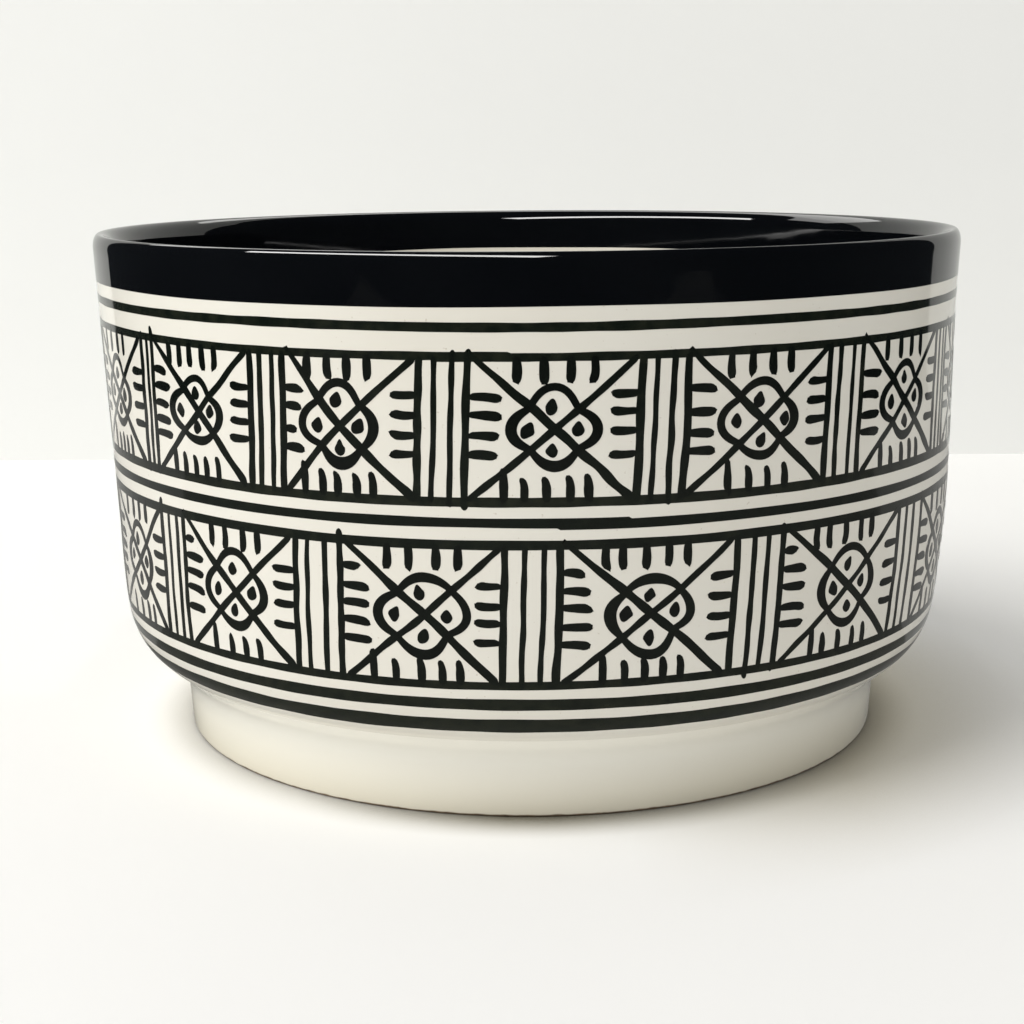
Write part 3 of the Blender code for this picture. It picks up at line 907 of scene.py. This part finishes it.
def shade_near_foot(nodes):
    """Soft warm shadows on the paper: a tight one round the foot, and a wide one on its right."""
    split = nodes.add("ShaderNodeSeparateXYZ")
    nodes.link(nodes.add("ShaderNodeTexCoord").outputs["Object"], split.inputs["Vector"])
    across = split.outputs["X"]
    tight = nodes.add("ShaderNodeMath", operation="MULTIPLY")
    nodes.link(nodes.range(across, -50 * MM, -5 * MM, 0.4, 1.0), tight.inputs[0])
    nodes.link(nodes.range(across, 5 * MM, 50 * MM, 1.0, 0.55), tight.inputs[1])
    wide = nodes.range(across, 20 * MM, 70 * MM, 0.0, 1.0)
    white = (1.0, 1.0, 1.0)
    tight_stops = (0.50, (0.15, 0.135, 0.09)), (0.72, (0.57, 0.55, 0.50)), (0.95, white)
    wide_stops = (0.50, (0.78, 0.75, 0.67)), (0.95, white)
    colour = nodes.shader.inputs["Base Color"].links[0].from_socket
    for reach, amount, stops in (
        (12 * MM, tight.outputs["Value"], tight_stops),
        (45 * MM, wide, wide_stops),
    ):
        gap = nodes.add("ShaderNodeAmbientOcclusion", samples=6)
        gap.inputs["Distance"].default_value = reach
        colour = nodes.mix(amount, colour, nodes.ramp(gap.outputs["AO"], *stops), "MULTIPLY")
    nodes.link(colour, nodes.shader.inputs["Base Color"])


def see_through_back(nodes):
    """Paper that shows only its front, so that nothing blocks a look at the object from behind."""
    back = nodes.add("ShaderNodeNewGeometry").outputs["Backfacing"]
    clear = nodes.add("ShaderNodeBsdfTransparent")
    mix = nodes.add("ShaderNodeMixShader")
    out = nodes.tree.nodes["Material Output"]
    nodes.link(back, mix.inputs["Fac"])
    nodes.link(nodes.shader.outputs["BSDF"], mix.inputs[1])
    nodes.link(clear.outputs["BSDF"], mix.inputs[2])
    nodes.link(mix.outputs["Shader"], out.inputs["Surface"])


def make_world():
    """Soft white light all round for the surfaces; what the glaze mirrors is a dim room."""
    world = bpy.data.worlds.new("studio")
    bpy.context.scene.world = world
    world.use_nodes = True
    tree = world.node_tree
    tree.nodes.clear()
    soft = tree.nodes.new("ShaderNodeBackground")
    soft.inputs["Color"].default_value = (0.975, 0.975, 0.965, 1.0)
    soft.inputs["Strength"].default_value = 0.49
    room = tree.nodes.new("ShaderNodeBackground")
    room.inputs["Color"].default_value = (0.80, 0.90, 1.0, 1.0)
    room.inputs["Strength"].default_value = 0.03
    path = tree.nodes.new("ShaderNodeLightPath")
    mix = tree.nodes.new("ShaderNodeMixShader")
    out = tree.nodes.new("ShaderNodeOutputWorld")
    tree.links.new(path.outputs["Is Glossy Ray"], mix.inputs["Fac"])
    tree.links.new(soft.outputs["Background"], mix.inputs[1])
    tree.links.new(room.outputs["Background"], mix.inputs[2])
    tree.links.new(mix.outputs["Shader"], out.inputs["Surface"])


def make_light(name, azimuth, elevation, distance, size, watts, colour, mirrored=False):
    """An area light aimed at the bowl, from a bearing off the front and a height above the table.

    A mirrored light only makes highlights in the glaze; the others only light the surfaces.
    """
    data = bpy.data.lights.new(name, "AREA")
    data.shape = "RECTANGLE"
    data.size, data.size_y = size
    data.energy = watts
    data.color = colour
    lamp = bpy.data.objects.new(name, data)
    a, e = math.radians(azimuth), math.radians(elevation)
    toward = Vector((math.sin(a) * math.cos(e), -math.cos(a) * math.cos(e), math.sin(e)))
    lamp.location = Vector((0, 0, 0.07)) + toward * distance
    lamp.rotation_euler = toward.to_track_quat("Z", "Y").to_euler()
    lamp.visible_glossy, lamp.visible_diffuse = mirrored, not mirrored
    lamp.visible_camera = False
    bpy.context.scene.collection.objects.link(lamp)


def make_lights():
    """Two large soft lights from the left, a faint one overhead, and two that only shine in the glaze."""
    white = (1.0, 0.99, 0.97)
    make_light("key_high_left", -60, 55, 3.0, (1.8, 1.8), 44, white)
    make_light("key_low_left", -60, 25, 3.0, (1.8, 1.8), 24, white)
    make_light("fill_high", -25, 65, 3.0, (1.8, 1.8), 2.6, white)
    make_light("bright_strip", -41, 51, 1.5, (2.0, 0.28), 29, white, mirrored=True)
    make_light("glow_behind_lip", 204, 45, 0.42, (0.50, 0.12), 0.55, white, mirrored=True)


def make_camera():
    """At the viewer's place: 0.43 m in front, a little above the rim, tipped down about 12 degrees."""
    data = bpy.data.cameras.new("camera")
    data.sensor_width = 36.0
    data.lens = 62.14  # a view about 32 degrees wide
    camera = bpy.data.objects.new("camera", data)
    pan, pitch, roll = (math.radians(v) for v in (-0.57, 11.82, -0.417))
    ahead = Vector((math.sin(pan), math.cos(pan), 0))
    right = Vector((math.cos(pan), -math.sin(pan), 0))
    up = Vector((0, 0, 1))
    forward = ahead * math.cos(pitch) - up * math.sin(pitch)
    tipped = up * math.cos(pitch) + ahead * math.sin(pitch)
    side = right * math.cos(roll) + tipped * math.sin(roll)
    top = tipped * math.cos(roll) - right * math.sin(roll)
    turn = Matrix((side, top, -forward)).transposed()
    stand = (0.0, -0.4280, 0.1365)
    camera.matrix_world = Matrix.Translation(stand) @ turn.to_4x4()
    bpy.context.scene.collection.objects.link(camera)
    bpy.context.scene.camera = camera


def main():
    cream, paint = make_cream(), make_paint()
    make_body(cream)
    make_foot(make_foot_glaze())
    make_rim_coat(make_black())
    make_round_lines(paint)
    for name, spec in FRIEZES.items():
        paint_frieze(name, spec, paint)
    make_stage()
    make_world()
    make_lights()
    make_camera()
    bpy.context.scene.view_settings.view_transform = "Standard"


main()
